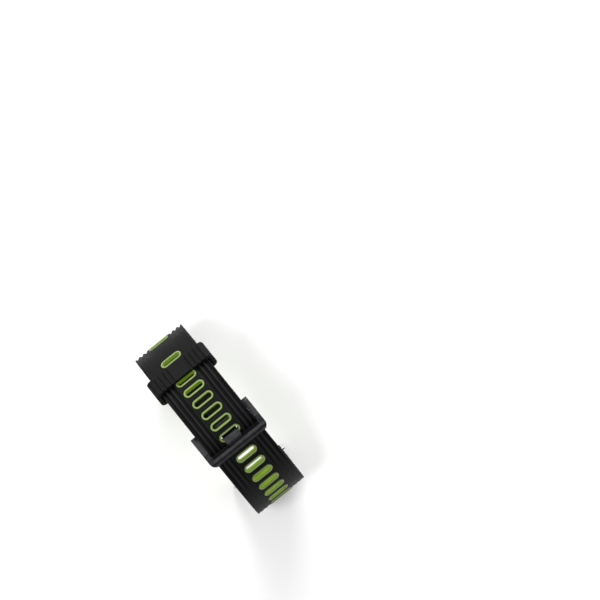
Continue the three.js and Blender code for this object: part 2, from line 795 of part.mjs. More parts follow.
function keeper() {
  const innerHalf = HALF_WIDTH + KEEPER_SIDE_CLEARANCE;
  const outerHalf = innerHalf + KEEPER_SIDE_WALL;
  const floor = -KEEPER_BOTTOM_CLEARANCE;
  const roof = tailHeight + LONG_THICKNESS + KEEPER_TOP_CLEARANCE;
  const shape = roundedRectangle(
    -outerHalf,
    floor - KEEPER_BOTTOM_WALL,
    outerHalf,
    roof + KEEPER_TOP_WALL,
    KEEPER_OUTER_CORNER,
  );
  const opening = new THREE.Path();
  roundedRectangle(-innerHalf, floor, innerHalf, roof, KEEPER_INNER_CORNER, opening);
  shape.holes.push(opening);
  const geometry = new THREE.ExtrudeGeometry(shape, {
    depth: KEEPER_LENGTH,
    bevelEnabled: false,
    curveSegments: ARC_STEPS,
  });
  geometry.translate(0, 0, -KEEPER_LENGTH / 2);
  const angle = radians(90 + KEEPER_TILT);
  const normal = new THREE.Vector3(Math.cos(angle), 0, Math.sin(angle));
  const across = new THREE.Vector3(0, 1, 0);
  const placement = new THREE.Matrix4().makeBasis(across, normal, across.clone().cross(normal));
  placement.setPosition(
    keeperZone.x + keeperZone.r * normal.x,
    0,
    keeperZone.z + keeperZone.r * normal.z,
  );
  return solidOf(geometry, placement);
}

// ---- Assembly

const strap = new THREE.Group();
strap.add(
  meshOf("strap_long_half", longHalf(), BLACK_SILICONE),
  meshOf(
    "strap_long_liner",
    liner(longBelt, longSlots, LONG_THICKNESS, longLinerFrom, longLinerTo),
    GREEN_SILICONE,
  ),
  meshOf("strap_short_half", shortHalf(), BLACK_SILICONE),
  meshOf(
    "strap_short_liner",
    liner(shortBelt, shortSlots, SHORT_THICKNESS, shortLinerFrom, shortLinerTo),
    GREEN_SILICONE,
  ),
  meshOf("keeper_loop", keeper(), BLACK_SILICONE),
  meshOf("buckle_frame", buckleFrame(), SATIN_BLACK_METAL),
  meshOf("buckle_tongue", tongue(), SATIN_BLACK_METAL),
  ...springBar("buckle_bar", hinge),
  ...springBar("lug_bar_long", lugLong),
  ...springBar("lug_bar_short", lugShort),
);

// The part's origin is the middle of its base, where it stands on its two lug ends.
const extent = new THREE.Box3().setFromObject(strap);
const middle = extent.getCenter(new THREE.Vector3());
strap.position.set(-middle.x, -middle.y, -extent.min.z);

const part = new THREE.Group();
part.add(strap);

export default part;
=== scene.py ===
"""A two-part silicone wrist strap, done up by its pin buckle: black, with a lime lining.

Pieces are shaped in millimetres on the lines that the strap halves follow, then moved to the frame
of the CAD model and scaled to metres.
"""

import math

import bpy
from mathutils import Matrix, Vector


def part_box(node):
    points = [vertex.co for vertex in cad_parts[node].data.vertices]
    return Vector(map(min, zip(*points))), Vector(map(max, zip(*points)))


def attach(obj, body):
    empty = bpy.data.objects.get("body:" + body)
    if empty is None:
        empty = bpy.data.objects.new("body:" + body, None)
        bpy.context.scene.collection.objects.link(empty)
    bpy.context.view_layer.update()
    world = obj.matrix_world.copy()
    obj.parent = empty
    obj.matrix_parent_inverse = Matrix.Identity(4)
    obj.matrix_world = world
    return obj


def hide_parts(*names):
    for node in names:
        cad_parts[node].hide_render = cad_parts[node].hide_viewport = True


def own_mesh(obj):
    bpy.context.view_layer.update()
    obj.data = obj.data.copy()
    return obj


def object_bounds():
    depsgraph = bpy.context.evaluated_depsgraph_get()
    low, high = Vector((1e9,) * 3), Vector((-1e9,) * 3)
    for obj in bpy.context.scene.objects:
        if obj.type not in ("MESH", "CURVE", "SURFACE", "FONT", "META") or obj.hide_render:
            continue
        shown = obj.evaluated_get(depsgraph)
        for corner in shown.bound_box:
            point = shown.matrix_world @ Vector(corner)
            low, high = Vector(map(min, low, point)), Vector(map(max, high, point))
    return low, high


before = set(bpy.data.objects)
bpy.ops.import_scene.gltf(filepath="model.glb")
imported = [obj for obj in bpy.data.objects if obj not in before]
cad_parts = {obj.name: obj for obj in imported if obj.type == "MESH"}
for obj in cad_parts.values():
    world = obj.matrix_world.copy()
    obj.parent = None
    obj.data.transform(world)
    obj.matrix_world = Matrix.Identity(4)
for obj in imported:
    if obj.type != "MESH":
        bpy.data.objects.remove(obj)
cad_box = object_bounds()

MILLIMETRE = 0.001

# Strap halves
HALF_WIDTH = 10.0
THICKNESS = 2.0
TAIL_HEIGHT = 2.3  # inner surface of the long half over the short half's inner surface
TAIL_CORNER = 6.0
TAIL_ZONE = 10.0  # stations this near the end follow its corners
TAIL_EDGE = 0.6
LUG_RADIUS = 1.9
LUG_SWELL = 8.0
HINGE_RADIUS = 1.6
HINGE_SWELL = 5.0
BORE_RADIUS = 0.8
TONGUE_GAP = 3.3  # half the gap in the hinge for the tongue
STEP = 0.8  # along a strap half

# Slots and lining
SLOT_LENGTH = 6.9
SLOT_WIDTH = 1.8
COLLAR_WALL = 0.8
COLLAR_LENGTH = SLOT_LENGTH + 2 * COLLAR_WALL
COLLAR_WIDTH = SLOT_WIDTH + 2 * COLLAR_WALL
RIM_HEIGHT = 0.15
SEAM = 0.08  # black to green
LINER_THICKNESS = 0.6
LINER_HALF_WIDTH = 7.0
STADIUM_SIDES = 38
SLOT_PITCH_LONG = 4.9
SLOT_PITCH_SHORT = 13.9
TONGUE_SLOT_X = 5.9  # the slot that the tongue comes up through

# Grooves along the outer faces, in millimetres from the middle of the strap
GROOVE_FIRST = 5.4
GROOVE_PITCH = 1.8
GROOVE_DEPTH = 0.5
GROOVES_PER_SIDE = 3
RIDGES_FROM = 4.5
EDGE_ROUND = 0.32
EDGE_DROP = 0.4

HINGE = (1.3, 1.6)


# ---- The lines that the strap halves follow


def smooth(value):
    part = min(max(value, 0.0), 1.0)
    return part * part * (3 - 2 * part)


class Belt:
    """A line over wheels (x, z, radius) in turn, clockwise, with straight runs between them."""

    def __init__(self, wheels, offset, start_degrees=None):
        self.pieces = []
        self.length = 0.0
        angle = None if start_degrees is None else math.radians(start_degrees)
        for wheel, following in zip(wheels, wheels[1:]):
            leaving = self.leaving_angle(wheel, following)
            radius = wheel[2] + offset
            if angle is not None:
                self.add((angle - leaving) * radius, angle, (wheel[0], wheel[1]), radius)
            normal = (math.cos(leaving), math.sin(leaving))
            start = [wheel[k] + radius * normal[k] for k in (0, 1)]
            end = [following[k] + (following[2] + offset) * normal[k] for k in (0, 1)]
            run = math.dist(start, end)
            if run > 1e-6:
                self.add(run, leaving, start, None)
            angle = leaving

    @staticmethod
    def leaving_angle(wheel, following):
        distance = math.dist(wheel[:2], following[:2])
        heading = math.atan2(following[1] - wheel[1], following[0] - wheel[0])
        share = (wheel[2] - following[2]) / distance
        return heading + math.acos(min(max(share, -1.0), 1.0))

    def add(self, length, angle, base, radius):
        self.pieces.append((self.length, length, angle, base, radius))
        self.length += length

    def place(self, along, height=0.0):
        """(x, z, normal angle) this far along, raised by a height."""
        found = next((p for p in self.pieces if along <= p[0] + p[1]), self.pieces[-1])
        start, _, angle, base, radius = found
        within = along - start
        if radius is None:
            x = base[0] + within * math.sin(angle) + height * math.cos(angle)
            z = base[1] - within * math.cos(angle) + height * math.sin(angle)
            return x, z, angle
        angle -= within / radius
        reach = radius + height
        return base[0] + reach * math.cos(angle), base[1] + reach * math.sin(angle), angle

    def where(self, test):
        """The place along where a test of (x, z, angle) turns true."""
        low, high = 0.0, self.length
        while high - low > 1e-6:
            middle = (low + high) / 2
            if test(*self.place(middle)):
                high = middle
            else:
                low = middle
        return (low + high) / 2


def touching(wheel, normal_degrees, radius):
    """A wheel of this radius whose rim touches another's where the normal has this angle."""
    reach = wheel[2] - radius
    angle = math.radians(normal_degrees)
    return (wheel[0] + reach * math.cos(angle), wheel[1] + reach * math.sin(angle), radius)


def raised(wheel, height):
    """The same wheel with a wider rim."""
    return (wheel[0], wheel[1], wheel[2] + height)


def middle_of(node):
    low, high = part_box(node)
    return (low + high) / 2 / MILLIMETRE


# The belts are laid out about the buckle's hinge, and this brings them to the row frame.
hinge_middle = middle_of("buckle_bar_tube")
SHIFT = Vector((hinge_middle.x - HINGE[0], 0, hinge_middle.z - HINGE[1]))
lug_long = middle_of("lug_bar_long_tube") - SHIFT
lug_short = middle_of("lug_bar_short_tube") - SHIFT

palm = (-7.0, -13.0, 13.0)
keeper_zone = touching(palm, 90 + 28, 50.0)
short_side = touching(keeper_zone, 90 + 46, 20.3)
short_back = touching(short_side, 180, 17.0)
long_side = (5.8, -25.8, 25.8)
long_back = touching(long_side, 0, 17.0)
crest = (1.0, 2 * HINGE_RADIUS + 0.25 - 11.0, 11.0)

KEEPER_TILT = 34.8
KEEPER_LENGTH = 7.4
KEEPER_TRIM = 0.35  # taken off each end of the loop
KEEPER_PLAY = 0.55
KEEPER_WALL_SIDE = 1.4
KEEPER_WALL_TOP = 1.3
KEEPER_WALL_FOOT = 1.0
KEEPER_HOLE = (-0.3, 4.75)  # heights over the short half's inner surface
SCOOP_RADIUS = 0.62
SCOOP_LIFT = 0.22
SCOOPS_ACROSS = (3.7, 5.55, 7.4, 9.25)
tail_arc = (KEEPER_LENGTH / 2 - 0.6) / (keeper_zone[2] + TAIL_HEIGHT + THICKNESS)

short_belt = Belt(
    [
        (lug_short.x, lug_short.z, -THICKNESS / 2),
        short_back,
        short_side,
        keeper_zone,
        palm,
        (*HINGE, -HINGE_RADIUS),
    ],
    THICKNESS,
)
long_belt = Belt(
    [
        raised(keeper_zone, TAIL_HEIGHT),
        raised(palm, TAIL_HEIGHT),
        crest,
        long_side,
        long_back,
        (lug_long.x, lug_long.z, -THICKNESS / 2),
    ],
    THICKNESS,
    90 + KEEPER_TILT + math.degrees(tail_arc),
)

tongue_slot = long_belt.where(lambda x, z, angle: x > TONGUE_SLOT_X)
long_slots = [tongue_slot + SLOT_PITCH_LONG * index for index in range(-5, 10)]
past_keeper = short_belt.where(lambda x, z, angle: angle < math.radians(90 + 44.2))
short_slots = [past_keeper + SLOT_PITCH_SHORT * index for index in (1, 0, -1, -2)]


# ---- Working on a mesh


def object_mode():
    active = bpy.context.view_layer.objects.active
    if active and active.mode != "OBJECT":
        bpy.ops.object.mode_set(mode="OBJECT")


def take(obj):
    """Makes one object the only selected one."""
    object_mode()
    bpy.ops.object.select_all(action="DESELECT")
    obj.select_set(True)
    bpy.context.view_layer.objects.active = obj
    return obj


def clear_hands():
    object_mode()
    bpy.ops.object.select_all(action="DESELECT")


def named(name):
    """The object just added, with its place put in its mesh."""
    obj = bpy.context.object
    obj.name = obj.data.name = name
    bpy.context.view_layer.update()
    obj.data.transform(obj.matrix_world)
    obj.matrix_world = Matrix.Identity(4)
    return obj


def pick(obj, kind, test):
    """Opens a mesh with only the vertices, edges or faces that pass a test selected."""
    take(obj)
    mesh = obj.data
    for items in (mesh.vertices, mesh.edges, mesh.polygons):
        items.foreach_set("select", [False] * len(items))
    if kind == "VERT":
        for vertex in mesh.vertices:
            vertex.select = test(vertex.co)
    elif kind == "EDGE":
        for edge in mesh.edges:
            ends = [mesh.vertices[i].co for i in edge.vertices]
            edge.select = all(test(end) for end in ends)
    else:
        for face in mesh.polygons:
            face.select = test(face.center, face.normal)
    bpy.ops.object.mode_set(mode="EDIT")
    bpy.ops.mesh.select_mode(type=kind)


def pick_all(obj):
    take(obj)
    bpy.ops.object.mode_set(mode="EDIT")
    bpy.ops.mesh.select_all(action="SELECT")


def outward(obj):
    """Closes up vertices that lie on each other, and turns every face outward."""
    pick_all(obj)
    bpy.ops.mesh.remove_doubles(threshold=1e-4)
    bpy.ops.mesh.normals_make_consistent(inside=False)
    object_mode()
    return obj


def modify(obj, kind, **settings):
    """Adds a modifier, sets it and applies it."""
    take(obj)
    modifier = obj.modifiers.new(kind.lower(), kind)
    for key, value in settings.items():
        setattr(modifier, key, value)
    bpy.ops.object.modifier_apply(modifier=modifier.name)
    return obj


def ease_edges(obj, width, degrees, material=-1):
    """Rounds each edge that turns more than this; the new faces may take another finish."""
    settings = {"limit_method": "ANGLE", "angle_limit": math.radians(degrees)}
    return modify(obj, "BEVEL", width=width, segments=3, material=material, **settings)


def combine(obj, tool, operation):
    modify(obj, "BOOLEAN", object=tool, operation=operation, solver="EXACT")
    bpy.data.objects.remove(tool)
    return obj


def join(objects):
    """One object of several that don't touch."""
    clear_hands()
    for obj in objects:
        obj.select_set(True)
    bpy.context.view_layer.objects.active = objects[0]
    bpy.ops.object.join()
    return objects[0]


def copied(obj, name, place=(0, 0, 0)):
    twin = obj.copy()
    twin.data = obj.data.copy()
    twin.name = twin.data.name = name
    twin.data.transform(Matrix.Translation(place))
    bpy.context.scene.collection.objects.link(twin)
    return twin


def rod(name, x, z, radius, low, high, sides=48):
    """A cylinder along Y."""
    clear_hands()
    bpy.ops.mesh.primitive_cylinder_add(
        vertices=sides,
        radius=radius,
        depth=high - low,
        location=(x, (low + high) / 2, z),
        rotation=(math.pi / 2, 0, 0),
    )
    return named(name)


def block(name, low, high):
    clear_hands()
    size = [b - a for a, b in zip(low, high)]
    middle = [(a + b) / 2 for a, b in zip(low, high)]
    bpy.ops.mesh.primitive_cube_add(size=1, location=middle, scale=size)
    return named(name)


def prism(name, corners, low, high, segments=6):
    """A plate with corners (x, z, rounding) that spans from one Y to another."""
    clear_hands()
    bpy.ops.mesh.primitive_circle_add(vertices=len(corners), radius=1, fill_type="NGON")
    obj = named(name)
    for vertex, corner in zip(obj.data.vertices, corners):
        vertex.co = (corner[0], low, corner[1])
    pick_all(obj)
    bpy.ops.mesh.extrude_region_move(TRANSFORM_OT_translate={"value": (0, high - low, 0)})
    outward(obj)
    count = len(corners)
    for index, (x, z, rounding) in enumerate(corners):
        if rounding <= 0:
            continue
        before = Vector(corners[index - 1][:2]) - Vector((x, z))
        after = Vector(corners[(index + 1) % count][:2]) - Vector((x, z))
        turn = math.pi - before.angle(after)
        pick(obj, "EDGE", lambda co: math.hypot(co.x - x, co.z - z) < 1e-4)
        bpy.ops.mesh.bevel(
            offset=rounding * math.tan(turn / 2), segments=segments, affect="EDGES"
        )
    object_mode()
    return obj


def stadium(name, length, width, low, high, flare=0.0, lip=0.0):
    """A slot-shaped plug through the strap; its mouth may flare over a lip above it."""
    clear_hands()
    bpy.ops.mesh.primitive_cylinder_add(
        vertices=STADIUM_SIDES,
        radius=width / 2,
        depth=high - low,
        location=(0, 0, (low + high) / 2),
    )
    obj = named(name)
    reach = (length - width) / 2
    for side in (1, -1):
        pick(obj, "VERT", lambda co: co.y * side > 1e-5)
        bpy.ops.transform.translate(value=(0, side * reach, 0))
    if flare:
        pick(obj, "FACE", lambda centre, normal: normal.z > 0.9)
        bpy.ops.mesh.extrude_region_move(TRANSFORM_OT_translate={"value": (0, 0, lip)})
        object_mode()
        top = max(v.co.z for v in obj.data.vertices)
        for vertex in obj.data.vertices:
            if vertex.co.z > top - 1e-5:
                swell = Vector((vertex.co.x, vertex.co.y - math.copysign(reach, vertex.co.y)))
                vertex.co.x += swell.x / (width / 2) * flare
                vertex.co.y += swell.y / (width / 2) * flare
        pick(obj, "FACE", lambda centre, normal: normal.z > 0.9 and centre.z > top - 1e-3)
        bpy.ops.mesh.extrude_region_move(TRANSFORM_OT_translate={"value": (0, 0, 1.0)})
    object_mode()
    return obj


def shade(obj, degrees):
    take(obj)
    bpy.ops.object.shade_smooth_by_angle(angle=math.radians(degrees))
    return obj


def settle(obj, body, nodes, finish, degrees=35):
    """Brings a piece from millimetres to the CAD model's frame, and gives it body and finish."""
    obj.data.transform(Matrix.Scale(MILLIMETRE, 4) @ Matrix.Translation(SHIFT))
    shade(obj, degrees)
    modify(obj, "WEIGHTED_NORMAL", keep_sharp=True, weight=80)
    obj.data.materials.clear()
    for one in finish if isinstance(finish, list) else [finish]:
        obj.data.materials.append(one)
    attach(obj, body)
    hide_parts(*nodes)
    return obj


# ---- Strap halves


def crown(across, grooves):
    """Height of the outer face across the strap, from its flat middle."""
    far = abs(across)
    height = 0.0
    start = GROOVE_FIRST - GROOVE_PITCH / 2
    if start < far < start + GROOVES_PER_SIDE * GROOVE_PITCH:
        wave = (1 + math.cos(2 * math.pi * (far - GROOVE_FIRST) / GROOVE_PITCH)) / 2
        height -= grooves * GROOVE_DEPTH * wave**1.5
    return height - edge_round(far)


def edge_round(far):
    """How far a face has dropped this far from the middle."""
    share = min(max((far - HALF_WIDTH + EDGE_ROUND) / EDGE_ROUND, 0.0), 1.0)
    return EDGE_DROP * (1 - math.sqrt(1 - share * share))


def rows_across():
    edge = [HALF_WIDTH - EDGE_ROUND * (1 - s) for s in (0.35, 0.62, 0.82, 0.94, 1.0)]
    grooved = [RIDGES_FROM + 0.2 * k for k in range(26)]
    half = [0.0, 1.5, 3.0, 4.0] + grooved + edge
    return [-y for y in reversed(half[1:])] + half


def sheet_blank(name, stations, rows, top, bottom):
    """A flat slab of the strap: stations along, rows across, and heights of its two faces."""
    clear_hands()
    bpy.ops.mesh.primitive_grid_add(
        x_subdivisions=len(stations) - 1, y_subdivisions=len(rows) - 1, size=1
    )
    obj = named(name)
    places = []
    for vertex in obj.data.vertices:
        along = round((vertex.co.x + 0.5) * (len(stations) - 1))
        across = round((vertex.co.y + 0.5) * (len(rows) - 1))
        places.append((stations[along], rows[across]))
        vertex.co = (stations[along], rows[across], 0)
    pick_all(obj)
    bpy.ops.mesh.extrude_region_move(TRANSFORM_OT_translate={"value": (0, 0, -THICKNESS)})
    object_mode()
    for vertex in obj.data.vertices:
        face = top if vertex.co.z > -THICKNESS / 2 else bottom
        vertex.co.z = face(vertex.co.x, vertex.co.y)
    return outward(obj)


def stations_between(start, end, step):
    count = max(1, round((end - start) / step))
    return [start + (end - start) * k / count for k in range(count + 1)]


def round_end(at, radius, sign):
    """Stations that close in on a round end."""
    return [at + sign * radius * math.sin(math.radians(d)) for d in (12, 24, 36, 48, 60, 72, 84)]


def note(obj, name, value_of):
    """Keeps a number on each vertex of a flat piece for its finish."""
    kept = obj.data.attributes.new(name, "FLOAT", "POINT")
    for index, vertex in enumerate(obj.data.vertices):
        kept.data[index].value = value_of(vertex.co)


def note_ridges(obj, grooves):
    """Notes where the outer face is ridged, and how deeply."""

    def ridged(co):
        on_ridges = RIDGES_FROM < abs(co.y) < HALF_WIDTH - 0.1 and co.z > -THICKNESS / 2
        return grooves(co.x) if on_ridges else 0.0

    note(obj, "ridged", ridged)


def lay_on(obj, belt):
    """Bends a flat piece onto a belt, and keeps its flat place for its finish."""
    mesh = obj.data
    flat = [vertex.co.copy() for vertex in mesh.vertices]
    kept = mesh.attributes.new("lay", "FLOAT_VECTOR", "POINT")
    for index, co in enumerate(flat):
        kept.data[index].vector = co
        x, z, _ = belt.place(co.x, co.z)
        mesh.vertices[index].co = (x, co.y, z)
    mesh.update()
    return obj


def collar_cuts(slots):
    """What the slots' collars take out of the black."""
    gap = 2 * SEAM
    plug = stadium(
        "cut", COLLAR_LENGTH + gap, COLLAR_WIDTH + gap, -THICKNESS - 1, -0.14, flare=0.14, lip=0.14
    )
    plugs = [copied(plug, "cut", (along, 0, 0)) for along in slots]
    bpy.data.objects.remove(plug)
    return plugs


def liner_seat(start, end):
    """What the lining's strip takes out of the black, in steps that bend with it."""
    half = LINER_HALF_WIDTH + SEAM
    stations = stations_between(start - SEAM, end + SEAM, STEP)
    high = -THICKNESS + LINER_THICKNESS + SEAM
    low = -THICKNESS - 1
    rows = [-half, 0.0, half]
    return sheet_blank("seat", stations, rows, lambda s, y: high, lambda s, y: low)


LINER_TO_LUG = LUG_SWELL + 1
long_liner = (2.5, long_belt.length - LINER_TO_LUG)
short_liner = (LINER_TO_LUG, short_belt.length - HINGE_SWELL - 1)


def lug_faces(distance):
    """(outer, inner) heights this far before the lug's bar; past it the distance is negative."""
    middle = -THICKNESS / 2
    if distance < 0:
        reach = math.sqrt(max(LUG_RADIUS**2 - distance**2, 0.0))
        return middle + reach, middle - reach
    swell = (LUG_RADIUS - THICKNESS / 2) * smooth(1 - distance / LUG_SWELL)
    return swell, -THICKNESS - swell


def hinge_faces(distance):
    middle = HINGE_RADIUS - THICKNESS
    inside = max(HINGE_RADIUS**2 - distance**2, 0.0)
    if distance < 0:
        return middle + math.sqrt(inside), middle - math.sqrt(inside)
    rise = 0.6 * smooth(1 - distance / HINGE_SWELL)
    return max(rise, middle + math.sqrt(inside) if inside else -1.0), -THICKNESS


def band(name, stations, faces, grooves):
    """The black band laid flat: faces(along) gives its two heights, grooves(along) their depth."""

    def top(along, across):
        high, low = faces(along)
        return high + crown(across, grooves(along)) * min(1.0, (high - low) / 2)

    def bottom(along, across):
        high, low = faces(along)
        return low + edge_round(abs(across)) * min(1.0, (high - low) / 2)

    return sheet_blank(name, stations, rows_across(), top, bottom)


def cut_tail(obj):
    """Draws the square corners of the tail in to a round."""
    for vertex in obj.data.vertices:
        far = abs(vertex.co.y) - (HALF_WIDTH - TAIL_CORNER)
        if far > 0 and vertex.co.x < TAIL_ZONE:
            drawn = TAIL_CORNER - math.sqrt(max(TAIL_CORNER**2 - far**2, 0.0))
            vertex.co.x = drawn + vertex.co.x * (TAIL_ZONE - drawn) / TAIL_ZONE


def strap_long_half():
    length = long_belt.length

    def faces(along):
        high, low = lug_faces(length - along)
        if along < TAIL_EDGE:
            drop = TAIL_EDGE * (1 - math.sqrt(1 - (1 - along / TAIL_EDGE) ** 2))
            return high - drop, low + drop
        return high, low

    def grooves(along):
        x, _, _ = long_belt.place(along)
        fade = 1 - 0.75 * smooth((x - 20) / 5)
        return fade * smooth(along / 5) * smooth((length - along - 3) / 6)

    tail = [TAIL_EDGE * share for share in (0.0, 0.1, 0.25, 0.5, 0.75, 1.0)]
    stations = tail + stations_between(1.2, length, STEP) + round_end(length, LUG_RADIUS, 1)
    obj = band("strap_long", stations, faces, grooves)
    cut_tail(obj)
    bore = rod("bore", length, -THICKNESS / 2, BORE_RADIUS, -HALF_WIDTH - 1, HALF_WIDTH + 1)
    combine(obj, liner_seat(*long_liner), "DIFFERENCE")
    combine(obj, join(collar_cuts(long_slots) + [bore]), "DIFFERENCE")
    note_ridges(obj, grooves)
    return lay_on(obj, long_belt)


def strap_short_half():
    length = short_belt.length

    def faces(along):
        return lug_faces(along) if along < length / 2 else hinge_faces(length - along)

    def grooves(along):
        _, _, angle = short_belt.place(max(along, 0.0))
        return smooth((math.degrees(angle) - 153) / 8) * smooth((along - 3) / 6)

    start = sorted(round_end(0.0, LUG_RADIUS, -1))
    hinge_end = stations_between(length - 2.4, length, 0.2) + round_end(length, HINGE_RADIUS, 1)
    stations = start + stations_between(0.0, length - 3.0, STEP) + hinge_end
    obj = band("strap_short", stations, faces, grooves)
    reach = HALF_WIDTH + 1
    lug_bore = rod("bore", 0.0, -THICKNESS / 2, BORE_RADIUS, -reach, reach)
    hinge_bore = rod("bore", length, HINGE_RADIUS - THICKNESS, BORE_RADIUS, -reach, reach)
    back = length - HINGE_RADIUS - 0.7
    gap = block("gap", (back, -TONGUE_GAP, -4), (length + 4, TONGUE_GAP, 4))
    combine(obj, gap, "DIFFERENCE")
    combine(obj, liner_seat(*short_liner), "DIFFERENCE")
    combine(obj, join(collar_cuts(short_slots) + [lug_bore, hinge_bore]), "DIFFERENCE")
    note_ridges(obj, grooves)
    return lay_on(obj, short_belt)


def collar():
    """The raised green ring round one slot, from the lining up to its rim."""
    low = -THICKNESS + 0.06
    obj = stadium("collar", COLLAR_LENGTH, COLLAR_WIDTH, low, RIM_HEIGHT)
    combine(obj, stadium("hole", SLOT_LENGTH, SLOT_WIDTH, low - 1, 1), "DIFFERENCE")
    outward(obj)

    def rim(inner):
        reach = (COLLAR_LENGTH - COLLAR_WIDTH) / 2
        middle = (COLLAR_WIDTH - COLLAR_WALL) / 2

        def test(co):
            beyond = max(abs(co.y) - reach, 0.0)
            near = math.hypot(co.x, beyond) < middle
            return co.z > RIM_HEIGHT - 1e-4 and near == inner

        return test

    pick(obj, "EDGE", rim(False))
    bpy.ops.mesh.bevel(offset=0.26, segments=3, affect="EDGES")
    pick(obj, "EDGE", rim(True))
    bpy.ops.mesh.bevel(offset=0.22, segments=3, affect="EDGES")
    object_mode()
    return obj


def liner(name, belt, slots, ends):
    """The green strip against the skin with its collars."""

    def top(along, across):
        return -THICKNESS + LINER_THICKNESS

    def bottom(along, across):
        near_edge = smooth((abs(across) - LINER_HALF_WIDTH + 0.3) / 0.3)
        return -THICKNESS + 0.18 * near_edge

    rows = [-7.0, -6.92, -6.8, -6.7, -4.6, 0.0, 4.6, 6.7, 6.8, 6.92, 7.0]
    strip = sheet_blank(name, stations_between(*ends, STEP), rows, top, bottom)
    hole = stadium("hole", SLOT_LENGTH + COLLAR_WALL, SLOT_WIDTH + COLLAR_WALL, -4, 2)
    holes = [copied(hole, "hole", (along, 0, 0)) for along in slots]
    ring = collar()
    rings = [copied(ring, "ring", (along, 0, 0)) for along in slots]
    bpy.data.objects.remove(hole)
    bpy.data.objects.remove(ring)
    combine(strip, join(holes), "DIFFERENCE")
    combine(strip, join(rings), "UNION")
    reach = (SLOT_LENGTH - SLOT_WIDTH) / 2

    def from_slot(co):
        off = min(abs(co.x - along) for along in slots)
        return math.hypot(off, max(abs(co.y) - reach, 0.0)) - SLOT_WIDTH / 2

    note(strip, "wall", from_slot)
    return lay_on(strip, belt)


# ---- Keeper


def keeper_loop():
    """The loop that holds the tail, standing square on the keeper's stretch of the wrist."""
    half = HALF_WIDTH + KEEPER_PLAY
    outer = half + KEEPER_WALL_SIDE
    low, high = KEEPER_HOLE
    foot, top = low - KEEPER_WALL_FOOT, high + KEEPER_WALL_TOP
    ends = KEEPER_LENGTH / 2 - KEEPER_TRIM
    body = [(-outer, foot, 1.8), (outer, foot, 1.8), (outer, top, 1.8), (-outer, top, 1.8)]
    hole = [(-half, low, 0.9), (half, low, 0.9), (half, high, 0.9), (-half, high, 0.9)]
    obj = prism("keeper", body, -ends, ends, segments=8)
    combine(obj, prism("hole", hole, -ends - 1, ends + 1, segments=6), "DIFFERENCE")
    scoops = [
        rod("scoop", side * at, top + SCOOP_LIFT, SCOOP_RADIUS, -ends - 1, ends + 1, sides=28)
        for side in (-1, 1)
        for at in SCOOPS_ACROSS
    ]
    combine(obj, join(scoops), "DIFFERENCE")
    ease_edges(obj, 0.28, 62)
    # Across, height and length of the loop become its place on the wrist.
    angle = math.radians(90 + KEEPER_TILT)
    normal = Vector((math.cos(angle), 0, math.sin(angle)))
    along = Vector((normal.z, 0, -normal.x))
    base = Vector((keeper_zone[0], 0, keeper_zone[1])) + normal * keeper_zone[2]
    base -= along * KEEPER_TRIM
    for vertex in obj.data.vertices:
        across, length, height = vertex.co
        vertex.co = base + normal * height + along * length + Vector((0, across, 0))
    return outward(obj)


# ---- Buckle

FRONT_BAR_INNER = 8.5
FRONT_BAR_WIDTH = 3.85
LEDGE_WIDTH = 1.15
LEDGE_DROP = 0.62
FRONT_BAR_HEIGHT = 2.4
FRONT_CORNER = 2.4  # seen from above
FRONT_BAR_OUTER = FRONT_BAR_INNER + FRONT_BAR_WIDTH
ARM_INNER = HALF_WIDTH + 0.015
ARM_OUTER = HALF_WIDTH + 1.95
ARM_EYE = HINGE_RADIUS + 0.15
TONGUE_HALF = (SLOT_LENGTH - 0.9) / 2
TONGUE_THICKNESS = 0.8
TONGUE_TIP = FRONT_BAR_INNER + 0.7
TONGUE_DIP = 0.45  # how far its end slopes down
TONGUE_CORNER = 0.7  # seen from above
NOTCH_PLAY = 0.3  # beside the tongue's end
PIN_HOLE_RADIUS = 0.47
PIN_HOLE_DEPTH = 1.2
PLATE_BOTTOM, PLATE_TOP = -6, 12  # past the buckle and tongue both ways

mouth_x, mouth_z, mouth_angle = long_belt.place(tongue_slot)
TONGUE_TOP = mouth_z + 0.66


def over_strap(x):
    """Underside of the front bar over the long half, at x."""
    return long_belt.place(long_belt.where(lambda at, z, angle: at > x))[1] + 0.35


def front_bar_corners():
    """The front bar seen from the side: a ledge on the hinge's side, a crest and a fall."""
    inner, outer = FRONT_BAR_INNER, FRONT_BAR_OUTER
    crest_x = inner + LEDGE_WIDTH + 1.05
    crest_z = over_strap(inner + 1.7) + FRONT_BAR_HEIGHT
    ledge_z = crest_z - LEDGE_DROP
    return [
        (inner, over_strap(inner), 0.25),
        (outer - 0.2, over_strap(outer - 0.2), 0.5),
        (outer, crest_z - 1.9, 0.9),
        (crest_x + 0.75, crest_z - 0.2, 0.9),
        (crest_x, crest_z, 0.4),
        (inner + LEDGE_WIDTH, ledge_z, 0.25),
        (inner, ledge_z + 0.16, 0.25),
    ]


def arm_corners():
    """One arm seen from the side, from the hinge's eye to the front bar."""
    _, low, high, _, peak = front_bar_corners()[:5]
    shoulder = FRONT_BAR_INNER - 1.75
    arm_top = HINGE[1] + ARM_EYE
    return [
        (HINGE[0], HINGE[1] - ARM_EYE, 0),
        (low[0] - 0.45, low[1] - 0.35, 0.5),
        (high[0] - 0.3, high[1], 0.5),
        (peak[0] + 0.3, peak[1] - 0.3, 0.4),
        (shoulder + 0.5, peak[1] - 0.7, 0.4),
        (shoulder, arm_top + 0.55, 0.3),
        (HINGE[0], arm_top, 0),
    ]


def plan_plate(name, corners, low, high):
    """A plate seen from above, with corners (x, y, rounding)."""
    obj = prism(name, corners, low, high)
    for vertex in obj.data.vertices:
        vertex.co = (vertex.co.x, vertex.co.z, vertex.co.y)
    return outward(obj)


